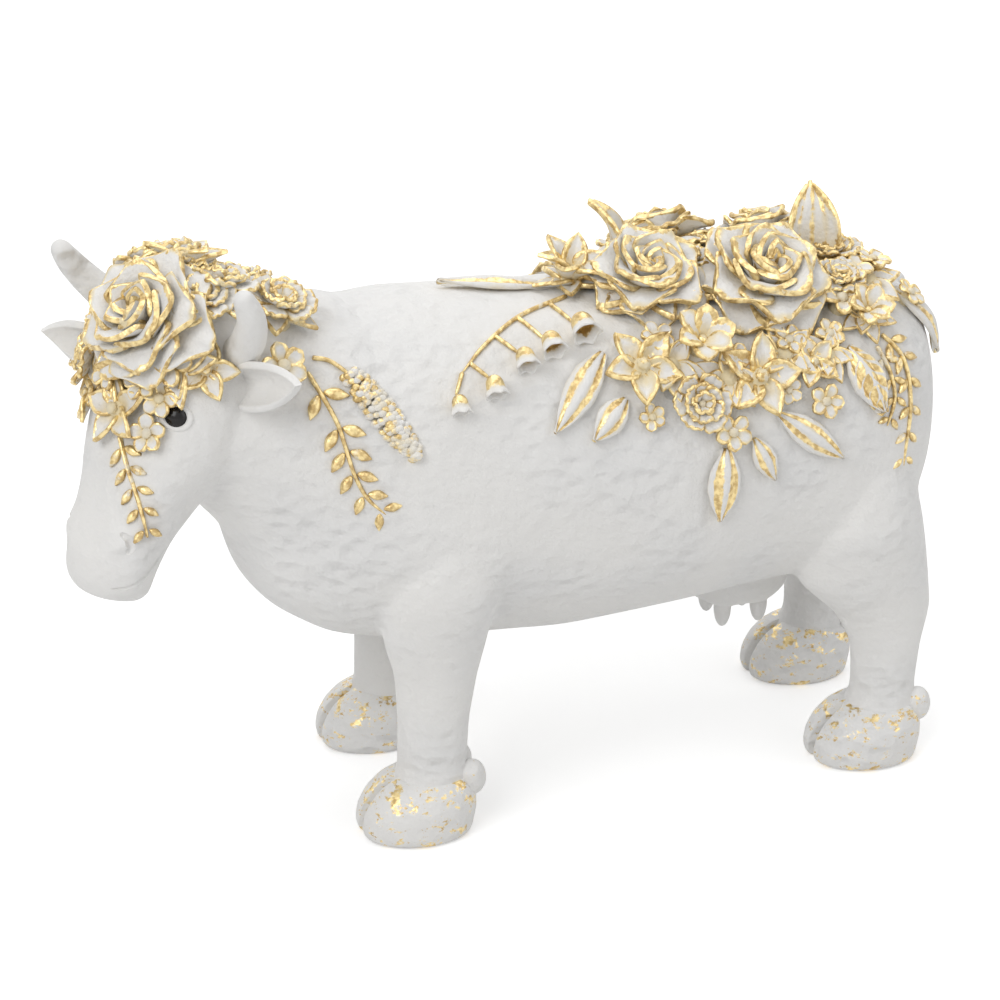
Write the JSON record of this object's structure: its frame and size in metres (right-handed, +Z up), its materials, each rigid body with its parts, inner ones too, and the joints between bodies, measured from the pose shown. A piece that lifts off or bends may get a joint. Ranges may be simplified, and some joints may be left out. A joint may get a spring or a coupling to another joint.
{
  "type": "cow ornament",
  "caption": "White standing cow ornament with its head turned, gilded flowers heaped on the crown and laid over the back, and gilded hooves.",
  "frame": {"origin": "centre of the object's box, on the floor under the hooves", "axes": "+X along the body towards the tail, +Y towards the cow's right side, +Z up"},
  "size_m": [0.275, 0.1064, 0.1788],
  "materials": {
    "white_body": "matte white paint on a cast surface with fine tooling marks, rubbed gold on the hooves",
    "white_horn": "matte white paint",
    "black_eye": "gloss black paint",
    "gilded_flower": "white with rubbed gold on the petal edges and a cream wash",
    "gilded_leaf": "white edges with rubbed gold in the middle"
  },
  "bodies": {
    "root": {"bell_spray": "gilded_leaf", "brow_small_flowers": "gilded_flower", "brow_star": "gilded_flower", "crown_lily": "gilded_flower", "crown_rose": "gilded_flower", "crown_ruffled_far": "gilded_flower", "crown_ruffled_left": "gilded_flower", "crown_ruffled_right": "gilded_flower", "curled_leaf_front": "gilded_leaf", "curled_leaf_rear": "gilded_leaf", "ear_star": "gilded_flower", "face_sprig": "gilded_leaf", "far_blades": "gilded_leaf", "far_brow_star": "gilded_flower", "far_neck_sprig": "gilded_leaf", "far_rose": "gilded_flower", "far_ruffled": "gilded_flower", "far_rump_sprig": "gilded_leaf", "far_small_flowers": "gilded_flower", "far_star_front": "gilded_flower", "far_star_rear": "gilded_flower", "far_trumpet": "gilded_flower", "front_left_leg": "white_body", "front_right_leg": "white_body", "head": "white_body", "hind_left_leg": "white_body", "hind_right_leg": "white_body", "left_ear": "white_body", "left_eye": "black_eye", "left_horn": "white_horn", "nape_ruffled": "gilded_flower", "nape_small_flowers": "gilded_flower", "neck_spike": "gilded_leaf", "neck_sprig": "gilded_leaf", "ovate_leaf": "gilded_leaf", "rear_ruffled": "gilded_flower", "rear_trumpet": "gilded_flower", "right_ear": "white_body", "right_eye": "black_eye", "right_horn": "white_horn", "rump_sprig_long": "gilded_leaf", "rump_sprig_short": "gilded_leaf", "saddle_blades": "gilded_leaf", "saddle_bud_leaves": "gilded_leaf", "saddle_lily": "gilded_flower", "saddle_rose_front": "gilded_flower", "saddle_rose_rear": "gilded_flower", "saddle_rose_top": "gilded_flower", "saddle_ruffled": "gilded_flower", "saddle_small_flowers": "gilded_flower", "saddle_star_front": "gilded_flower", "saddle_star_rear": "gilded_flower", "saddle_star_side": "gilded_flower", "saddle_trumpet": "gilded_flower", "spine_leaf": "gilded_leaf", "tail": "white_body", "trunk": "white_body", "udder": "white_body"}
  },
  "joints": []
}
